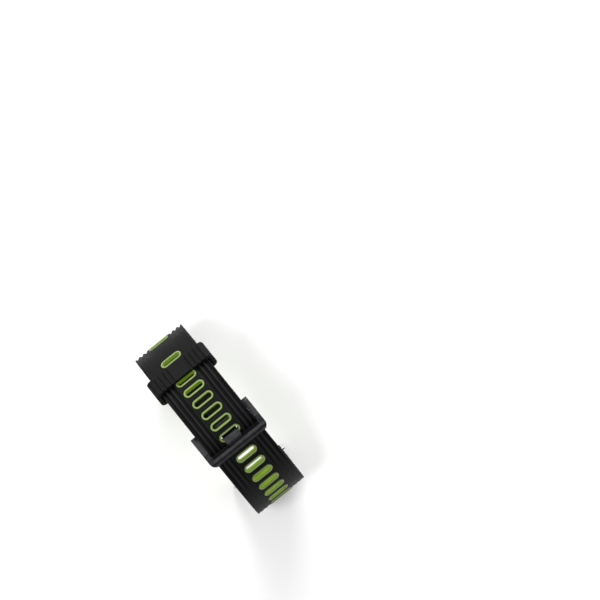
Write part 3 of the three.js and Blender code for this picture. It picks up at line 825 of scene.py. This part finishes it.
def buckle_frame():
    """The front bar with an arm and an eye at each side, notched for the tongue's end."""
    back = HINGE[0] - ARM_EYE - 1
    # Bar, arms and eyes run past the sides by different lengths, and the plan trims them flush.
    obj = prism("buckle", front_bar_corners(), -ARM_OUTER - 0.5, ARM_OUTER + 0.5)
    for side in (-1, 1):
        arm = sorted((side * ARM_INNER, side * (ARM_OUTER + 0.7)))
        eye = sorted((side * ARM_INNER, side * (ARM_OUTER + 0.9)))
        combine(obj, prism("arm", arm_corners(), *arm), "UNION")
        combine(obj, rod("eye", *HINGE, ARM_EYE, *eye, sides=64), "UNION")
    outward(obj)
    # The plan reaches just past the bar, so that the two share no face.
    front = FRONT_BAR_OUTER + 0.06
    plan = [
        (back, -ARM_OUTER, 0),
        (front, -ARM_OUTER, FRONT_CORNER),
        (front, ARM_OUTER, FRONT_CORNER),
        (back, ARM_OUTER, 0),
    ]
    combine(obj, plan_plate("plan", plan, PLATE_BOTTOM, PLATE_TOP), "INTERSECT")
    outward(obj)
    notch_half = TONGUE_HALF + NOTCH_PLAY
    notch_floor = TONGUE_TOP - TONGUE_DIP - TONGUE_THICKNESS / 2 - 0.1
    notch = block(
        "notch",
        (FRONT_BAR_INNER - 1, -notch_half, notch_floor),
        (TONGUE_TIP + 0.4, notch_half, TONGUE_TOP + 3),
    )
    combine(obj, notch, "DIFFERENCE")
    for side in (-1, 1):
        ends = sorted((side * (ARM_INNER - 1), side * (ARM_INNER + PIN_HOLE_DEPTH)))
        combine(obj, rod("pin_hole", *HINGE, PIN_HOLE_RADIUS, *ends, sides=32), "DIFFERENCE")
    outward(obj)
    ease_edges(obj, 0.16, 40, material=1)
    # The bevel's faces take the lighter edge finish, partly wear and partly a painted highlight,
    # except those on the hinge's side of the front bar between the arms.
    for face in obj.data.polygons:
        place = face.center
        if place.x < FRONT_BAR_INNER + 0.2 and abs(place.y) < ARM_INNER + 0.2:
            face.material_index = 0
    return obj


def plate_corners(middle, thickness):
    """The outline of a bent plate whose middle runs through (x, z, bend radius)."""

    def side(sign):
        found = []
        for index, (x, z, radius) in enumerate(middle):
            here = Vector((x, z))
            ways = []
            if index > 0:
                ways.append((here - Vector(middle[index - 1][:2])).normalized())
            if index + 1 < len(middle):
                ways.append((Vector(middle[index + 1][:2]) - here).normalized())
            coming, going = ways[0], ways[-1]
            normal = (coming + going).normalized()
            normal = Vector((-normal.y * sign, normal.x * sign))
            spread = thickness / 2 / math.sqrt((1 + coming.dot(going)) / 2)
            turn = math.copysign(1, coming.x * going.y - coming.y * going.x) * sign
            bend = max(radius - turn * thickness / 2, 0.05) if radius else 0
            found.append((*(here + normal * spread), bend))
        return found

    return side(-1) + side(1)[::-1]


def tongue():
    """The flat tongue: a barrel on the spring bar, a rise through the slot and a flat end."""
    normal = Vector((math.cos(mouth_angle), math.sin(mouth_angle)))
    forward = Vector((normal.y, -normal.x))
    mouth = Vector((mouth_x, mouth_z)) + forward * 0.3

    def at_height(z):
        return mouth + normal * ((z - mouth.y) / normal.y)

    root = HINGE[1] - 0.15
    foot, head = at_height(root), at_height(TONGUE_TOP)
    outline = plate_corners(
        [
            (HINGE[0], root, 0),
            (*foot, 0.8),
            (*head, 0.8),
            (FRONT_BAR_INNER - 0.2, TONGUE_TOP, 0.4),
            (TONGUE_TIP, TONGUE_TOP - TONGUE_DIP, 0),
        ],
        TONGUE_THICKNESS,
    )
    obj = prism("tongue", outline, -TONGUE_HALF, TONGUE_HALF)
    barrel = rod("barrel", *HINGE, HINGE_RADIUS - 0.2, -TONGUE_HALF, TONGUE_HALF, sides=56)
    combine(obj, barrel, "UNION")
    back = HINGE[0] - HINGE_RADIUS - 1
    plan = [
        (back, -TONGUE_HALF, TONGUE_CORNER),
        (TONGUE_TIP, -TONGUE_HALF, TONGUE_CORNER),
        (TONGUE_TIP, TONGUE_HALF, TONGUE_CORNER),
        (back, TONGUE_HALF, TONGUE_CORNER),
    ]
    combine(obj, plan_plate("plan", plan, PLATE_BOTTOM, PLATE_TOP), "INTERSECT")
    bore = rod("bore", *HINGE, BORE_RADIUS, -TONGUE_HALF - 1, TONGUE_HALF + 1, sides=48)
    combine(obj, bore, "DIFFERENCE")
    outward(obj)
    return ease_edges(obj, 0.14, 40, material=1)


# ---- Spring bars

TUBE_END = 8.7
TUBE_OUTER = 0.75
TUBE_BORE = 0.55
TUBE_LIP = 0.38
WIRE_RADIUS = 0.09
COIL_RADIUS = 0.4
SHOULDER = TUBE_END + 1.0
TIP_END = SHOULDER + 1.3
FLANGE_END = TUBE_END - 0.55
FLANGE_START = FLANGE_END - 0.6
SPRING_TURNS = 4.5


def turned(name, profile, closed, steps=36):
    """Spins a profile of (radius, place along) about the bar's axis."""
    clear_hands()
    bpy.ops.mesh.primitive_circle_add(vertices=len(profile), radius=1, fill_type="NOTHING")
    obj = named(name)
    for vertex, (radius, along) in zip(obj.data.vertices, profile):
        vertex.co = (radius, along, 0)
    if not closed:
        pick(obj, "EDGE", lambda co: co.x < 1e-6)
        bpy.ops.mesh.delete(type="EDGE")
    pick_all(obj)
    bpy.ops.mesh.spin(steps=steps, angle=2 * math.pi, center=(0, 0, 0), axis=(0, 1, 0))
    return outward(obj)


def bar_tube():
    """The bar's tube, lipped at both ends to hold its plungers."""
    lip = TUBE_END - 0.5
    profile = [
        (TUBE_OUTER, -TUBE_END + 0.08),
        (TUBE_OUTER, TUBE_END - 0.08),
        (TUBE_OUTER - 0.08, TUBE_END),
        (TUBE_LIP, TUBE_END),
        (TUBE_LIP, lip),
        (TUBE_BORE, lip),
        (TUBE_BORE, -lip),
        (TUBE_LIP, -lip),
        (TUBE_LIP, -TUBE_END),
        (TUBE_OUTER - 0.08, -TUBE_END),
    ]
    return turned("tube", profile, True)


def bar_plunger(side):
    """A flange inside the tube, a collar outside it and the tip."""
    profile = [
        (0.0, FLANGE_START),
        (0.5, FLANGE_START),
        (0.5, FLANGE_END),
        (0.33, FLANGE_END),
        (0.33, SHOULDER),
        (0.59, SHOULDER),
        (0.65, SHOULDER + 0.05),
        (0.65, SHOULDER + 0.15),
        (0.59, SHOULDER + 0.2),
        (0.4, SHOULDER + 0.2),
        (0.4, TIP_END - 0.2),
        (0.35, TIP_END - 0.08),
        (0.25, TIP_END),
        (0.0, TIP_END),
    ]
    return turned("plunger", [(radius, along * side) for radius, along in profile], False)


def half_spring(side):
    """The coil from the bar's middle to one plunger."""
    reach = FLANGE_START - 0.14
    clear_hands()
    bpy.ops.mesh.primitive_circle_add(
        vertices=8, radius=WIRE_RADIUS, fill_type="NOTHING", location=(COIL_RADIUS, 0, 0)
    )
    obj = named("spring")
    for vertex in obj.data.vertices:
        vertex.co = (vertex.co.x, 0.1 + vertex.co.y, 0)
    modify(
        obj,
        "SCREW",
        axis="Y",
        angle=2 * math.pi * SPRING_TURNS,
        screw_offset=reach - 0.1,
        steps=round(24 * SPRING_TURNS),
        render_steps=round(24 * SPRING_TURNS),
        iterations=1,
    )
    pick_all(obj)
    bpy.ops.mesh.fill_holes(sides=0)
    object_mode()
    if side < 0:
        obj.data.transform(Matrix.Rotation(math.pi, 4, "Z"))
    return outward(obj)


def spring_bar(prefix, name, middle, joint, finish):
    """Tube, two plungers and the two halves of the spring of one bar."""
    place = Matrix.Translation(middle)
    tube = bar_tube()
    tube.name = tube.data.name = f"{prefix}_tube"
    tube.data.transform(place)
    settle(tube, "straps", [f"{name}_tube"], finish)
    for side, word in ((-1, "left"), (1, "right")):
        push = f"{joint}_plunger_{word}"
        pin = bar_plunger(side)
        pin.name = pin.data.name = f"{prefix}_pin_{word}"
        pin.data.transform(place)
        settle(pin, push, [f"{name}_plunger_{word}"], finish)
        coil = half_spring(side)
        coil.name = coil.data.name = f"{prefix}_coil_{word}"
        coil.data.transform(place)
        settle(coil, "straps", [f"{name}_spring"], finish)
        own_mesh(coil)


# ---- Finishes


def linear(red, green, blue):
    def one(value):
        share = value / 255
        return share / 12.92 if share <= 0.04045 else ((share + 0.055) / 1.055) ** 2.4

    return (one(red), one(green), one(blue), 1.0)


class Number:
    """A number that changes over a surface; sums on it add Math nodes."""

    def __init__(self, finish, socket):
        self.finish = finish
        self.socket = socket

    def math(self, operation, first, second):
        values = {0: first, 1: second}
        return self.finish.number("ShaderNodeMath", {"operation": operation}, values)

    def __add__(self, other):
        return self.math("ADD", self, other)

    __radd__ = __add__

    def __sub__(self, other):
        return self.math("SUBTRACT", self, other)

    def __rsub__(self, other):
        return self.math("SUBTRACT", other, self)

    def __mul__(self, other):
        return self.math("MULTIPLY", self, other)

    __rmul__ = __mul__

    def ramp(self, low, high):
        """0 at low, 1 at high, eased between."""
        settings = {"interpolation_type": "SMOOTHSTEP"}
        values = {"Value": self, "From Min": low, "From Max": high}
        return self.finish.number("ShaderNodeMapRange", settings, values)


class Finish:
    """A material; its nodes are added by one method."""

    def __init__(self, name, **fixed):
        self.material = bpy.data.materials.new(name)
        self.material.use_nodes = True
        self.tree = self.material.node_tree
        self.tree.nodes.clear()
        self.shader = self.tree.nodes.new("ShaderNodeBsdfPrincipled")
        output = self.tree.nodes.new("ShaderNodeOutputMaterial")
        self.tree.links.new(self.shader.outputs["BSDF"], output.inputs["Surface"])
        for key, value in fixed.items():
            self.shader.inputs[key.replace("_", " ")].default_value = value

    def node(self, kind, settings=None, values=None):
        made = self.tree.nodes.new(kind)
        for key, value in (settings or {}).items():
            setattr(made, key, value)
        for key, value in (values or {}).items():
            self.feed(made.inputs[key], value)
        return made

    def feed(self, socket, value):
        if isinstance(value, Number):
            value = value.socket
        if isinstance(value, bpy.types.NodeSocket):
            self.tree.links.new(value, socket)
        else:
            socket.default_value = value

    def number(self, kind, settings, values):
        return Number(self, self.node(kind, settings, values).outputs[0])

    def set(self, **values):
        for key, value in values.items():
            self.feed(self.shader.inputs[key.replace("_", " ")], value)

    def laid(self):
        """Place on the flat strap, in millimetres."""
        return self.node("ShaderNodeAttribute", {"attribute_name": "lay"}).outputs["Vector"]

    def noted(self, name):
        """A number kept on the piece's vertices."""
        made = self.node("ShaderNodeAttribute", {"attribute_name": name})
        return Number(self, made.outputs["Fac"])

    def placed(self):
        """Place on the object, in millimetres."""
        source = self.node("ShaderNodeTexCoord").outputs["Object"]
        return self.stretched(source, (1000, 1000, 1000))

    def stretched(self, vector, by):
        settings = {"operation": "MULTIPLY"}
        return self.node("ShaderNodeVectorMath", settings, {0: vector, 1: by}).outputs[0]

    def part(self, vector, axis):
        made = self.node("ShaderNodeSeparateXYZ", None, {0: vector})
        return Number(self, made.outputs[axis])

    def noise(self, vector, scale, detail=2.0, roughness=0.5):
        values = {"Vector": vector, "Scale": scale, "Detail": detail, "Roughness": roughness}
        return self.number("ShaderNodeTexNoise", {"noise_dimensions": "3D"}, values)

    def blend(self, share, first, second):
        settings = {"data_type": "RGBA", "blend_type": "MIX"}
        made = self.node("ShaderNodeMix", settings, {0: share, 6: first, 7: second})
        return made.outputs[2]

    def bump(self, height, distance, strength=1.0, below=None):
        values = {"Height": height, "Distance": distance * MILLIMETRE, "Strength": strength}
        if below is not None:
            values["Normal"] = below
        return self.node("ShaderNodeBump", None, values).outputs["Normal"]


def black_silicone(name, place_of, dark, light, dust, grooved=False):
    """Matt moulded silicone: fine mould grain, cloudy sheen and a little dust; ridged faces get a
    painted highlight on the ridges and painted shade in the grooves.
    """
    finish = Finish(name, Specular_IOR_Level=0.11)
    place = place_of(finish)
    cloud = finish.noise(place, 0.22, 3.0)
    grain = finish.noise(place, 7.0, 3.0, 0.65)
    fine = finish.noise(place, 19.0, 2.0)
    streak = finish.noise(finish.stretched(place, (0.35, 3.2, 1.0)), 1.0, 3.0, 0.6)
    speck = finish.noise(place, 3.4, 2.0, 0.4).ramp(0.71, 0.78)
    body = finish.blend(cloud.ramp(0.3, 0.72), dark, light)
    body = finish.blend(streak.ramp(0.5, 0.8) * 0.35, body, light)
    body = finish.blend(speck * 0.16, body, dust)
    if grooved:
        height = finish.part(place, 2)
        outer_face = height.ramp(-1.0, -0.8)
        # Painted highlight: the crests of the ridges are lightened, as if they caught the side
        # light.
        painted_ridge_highlight = finish.noted("ridged") * height.ramp(-0.14, -0.02)
        body = finish.blend(painted_ridge_highlight * 0.75, body, linear(30, 30, 31))
        # Painted shade: the bottoms of the grooves on the outer face are darkened almost to black.
        painted_groove_shade = height.ramp(-0.05, -0.22) * outer_face
        body = finish.blend(painted_groove_shade * 0.9, body, linear(2, 2, 2))
    roughness = 0.44 + cloud * 0.12 + grain * 0.1 + streak * 0.08
    under = finish.bump(grain, 0.02, 0.55)
    normal = finish.bump(fine, 0.008, 0.5, under)
    finish.set(Base_Color=body, Roughness=roughness, Normal=normal)
    return finish.material


def green_silicone(name, slot_painted_light):
    """Lime silicone with a painted highlight, partly wear, on its rims, and a painted slot tone
    down in the slots: painted light on the long half, painted shade on the short.
    """
    finish = Finish(name, Specular_IOR_Level=0.35)
    place = finish.laid()
    height = finish.part(place, 2)
    cloud = finish.noise(place, 0.5, 3.0)
    grain = finish.noise(place, 8.0, 3.0, 0.6)
    wear = finish.noise(place, 2.1, 3.0, 0.6)
    lime = linear(134, 166, 38)
    pale_rim_sheen_and_wear = linear(124, 140, 84)
    # Painted light: the slot walls blend towards the given tone with depth, lighter than the lime
    # on the long half and darker on the short.
    body = finish.blend(height.ramp(-1.5, -0.2), slot_painted_light, lime)
    under = height.ramp(-1.9, -1.98)
    body = finish.blend(under, body, lime)
    body = finish.blend(cloud.ramp(0.45, 0.8) * 0.25, body, linear(112, 142, 36))
    wall = finish.noted("wall")
    # Painted highlight, partly wear: the rim tops are paled, broken up by the wear noise.
    rim = height.ramp(0.0, 0.14) * (0.6 + wear * 0.6)
    body = finish.blend(rim, body, pale_rim_sheen_and_wear)
    # Painted shade: the slot's inner edge just below the rim is darkened.
    inside = wall.ramp(0.2, 0.05) * height.ramp(-0.3, -0.1)
    body = finish.blend(inside * 0.7, body, linear(74, 98, 26))
    # Painted shade: a dark green band on the outer slope of each collar, below the rim.
    outside = wall.ramp(0.5, 0.7) * height.ramp(-0.5, -0.2)
    body = finish.blend(outside, body, linear(46, 62, 18))
    normal = finish.bump(grain, 0.018, 0.5)
    finish.set(Base_Color=body, Roughness=0.4 + cloud * 0.15 + grain * 0.1, Normal=normal)
    return finish.material


def black_metal(name, shade_dark, shade_light, rough, along, arm_painted_reflection=None):
    """Satin black plated metal with faint brushing and hairline scuffs; on the frame, the arms get
    a painted reflection and the ledge between them painted shade.
    """
    finish = Finish(name, Metallic=1.0)
    place = finish.placed()
    brushed = finish.noise(finish.stretched(place, along), 1.0, 4.0, 0.6)
    cloud = finish.noise(place, 0.5, 3.0)
    scuff = finish.noise(finish.stretched(place, (2.2, 0.5, 2.2)), 1.6, 5.0, 0.7)
    mark = scuff.ramp(0.64, 0.72)
    body = finish.blend(cloud.ramp(0.3, 0.7), shade_dark, shade_light)
    if arm_painted_reflection:
        from_hinge = finish.part(place, 0) - SHIFT.x
        # Painted reflection: everything nearer the hinge than the front bar, the arms and eyes, is
        # lightened.
        body = finish.blend(from_hinge.ramp(7.6, 6.6), body, arm_painted_reflection)
        across = finish.part(place, 1)
        between_arms = (across * across).ramp(ARM_INNER**2, (ARM_INNER - 0.3) ** 2)
        # Painted shade: the ledge on the hinge's side of the front bar, between the arms, is
        # darkened.
        painted_ledge_shade = from_hinge.ramp(7.7, 8.3) * from_hinge.ramp(9.9, 9.4) * between_arms
        body = finish.blend(painted_ledge_shade, body, linear(20, 20, 22))
    body = finish.blend(mark * 0.35, body, linear(120, 121, 124))
    normal = finish.bump(brushed, 0.006, 0.5)
    finish.set(Base_Color=body, Roughness=rough + brushed * 0.12 + cloud * 0.06, Normal=normal)
    return finish.material


def bar_steel():
    """Turned steel with fine rings round the bar and dull patches."""
    finish = Finish("turned steel", Metallic=1.0)
    place = finish.placed()
    rings = finish.noise(finish.stretched(place, (0.4, 16.0, 0.4)), 1.0, 3.0, 0.6)
    cloud = finish.noise(place, 1.4, 3.0)
    body = finish.blend(cloud.ramp(0.35, 0.75), linear(186, 188, 192), linear(152, 153, 156))
    normal = finish.bump(rings, 0.004, 0.6)
    finish.set(Base_Color=body, Roughness=0.2 + rings * 0.1 + cloud * 0.16, Normal=normal)
    return finish.material


def floor_finish():
    finish = Finish("studio floor", Specular_IOR_Level=0.2)
    place = finish.placed()
    cloud = finish.noise(place, 0.01, 2.0)
    body = finish.blend(cloud, (0.91, 0.91, 0.91, 1), (0.94, 0.94, 0.94, 1))
    finish.set(Base_Color=body, Roughness=0.8 + cloud * 0.05)
    return finish.material


# ---- The object

strap_black = black_silicone(
    "black silicone", Finish.laid, linear(6, 6, 7), linear(10, 10, 11), linear(60, 59, 57), True
)
keeper_black = black_silicone(
    "keeper rubber", Finish.placed, linear(7, 7, 8), linear(12, 12, 13), linear(64, 63, 61)
)
# Lit and shaded copies of one lime: the long half's slots get painted light, the short half's
# painted shade.
lime_long_lit_slots = green_silicone("lime silicone", linear(144, 178, 36))
lime_short_shaded_slots = green_silicone("lime silicone with painted slot shade", linear(86, 112, 26))
frame_black = black_metal(
    "satin black metal",
    linear(37, 37, 39),
    linear(46, 46, 48),
    0.34,
    (9.0, 0.5, 9.0),
    # the arms' painted reflection
    linear(58, 58, 60),
)
# Lighter finish for the bevelled edges: partly edge wear, partly a painted highlight.
edge_black_wear_and_highlight = black_metal(
    "black metal edges, wear and painted highlight", linear(66, 67, 69), linear(82, 82, 84), 0.28, (9.0, 0.5, 9.0)
)
tongue_black = black_metal(
    "tongue metal", linear(47, 47, 49), linear(56, 56, 58), 0.38, (0.6, 9.0, 9.0)
)
steel = bar_steel()

settle(strap_long_half(), "straps", ["strap_long_half"], strap_black, 40)
settle(strap_short_half(), "straps", ["strap_short_half"], strap_black, 40)
settle(
    liner("lining_long", long_belt, long_slots, long_liner),
    "straps",
    ["strap_long_liner"],
    lime_long_lit_slots,
    40,
)
settle(
    liner("lining_short", short_belt, short_slots, short_liner),
    "straps",
    ["strap_short_liner"],
    lime_short_shaded_slots,
    40,
)
settle(keeper_loop(), "keeper", ["keeper_loop"], keeper_black, 35)
settle(buckle_frame(), "buckle", ["buckle_frame"], [frame_black, edge_black_wear_and_highlight], 35)
settle(tongue(), "tongue", ["buckle_tongue"], [tongue_black, edge_black_wear_and_highlight], 35)
hinge_point = Vector((HINGE[0], 0, HINGE[1]))
spring_bar("hinge_bar", "buckle_bar", hinge_point, "buckle", steel)
spring_bar("long_bar", "lug_bar_long", lug_long, "long", steel)
spring_bar("short_bar", "lug_bar_short", lug_short, "short", steel)


# ---- Floor, light and camera

CAMERA_HEIGHT = 4.0
LENS_PER_METRE = 178.1  # millimetres of lens for each metre of height
STUDIO_AIM = (0, 0, 0.03)


def studio():
    clear_hands()
    bpy.ops.mesh.primitive_plane_add(size=6)
    floor = named("floor")
    floor.data.materials.append(floor_finish())

    world = bpy.data.worlds.new("studio")
    bpy.context.scene.world = world
    world.use_nodes = True
    background = world.node_tree.nodes["Background"]
    background.inputs["Color"].default_value = (1.0, 1.0, 1.0, 1)
    background.inputs["Strength"].default_value = 0.44

    def softbox(name, place, size, watts):
        light = bpy.data.lights.new(name, "AREA")
        light.shape = "RECTANGLE"
        light.size, light.size_y = size
        light.energy = watts
        lamp = bpy.data.objects.new(name, light)
        lamp.location = place
        toward = Vector(STUDIO_AIM) - Vector(place)
        lamp.rotation_euler = toward.to_track_quat("-Z", "Y").to_euler()
        bpy.context.scene.collection.objects.link(lamp)

    softbox("key", (-0.84, 0.42, 0.52), (0.8, 0.6), 12.5)
    softbox("side", (0.3, 0.95, 0.4), (0.8, 0.4), 3.5)
    softbox("top", (-0.12, -0.5, 1.3), (0.4, 0.4), 9)

    camera = bpy.data.objects.new("camera", bpy.data.cameras.new("camera"))
    bpy.context.scene.collection.objects.link(camera)
    camera.data.lens = LENS_PER_METRE * CAMERA_HEIGHT
    camera.data.clip_start = 0.01
    camera.data.clip_end = 20
    camera.location = (-0.0144, 0.0466, cad_box[1].z + CAMERA_HEIGHT)
    camera.rotation_euler = (0, 0, math.radians(51.1))
    bpy.context.scene.camera = camera


studio()
bpy.context.scene.view_settings.view_transform = "Standard"
clear_hands()

bpy.context.view_layer.update()
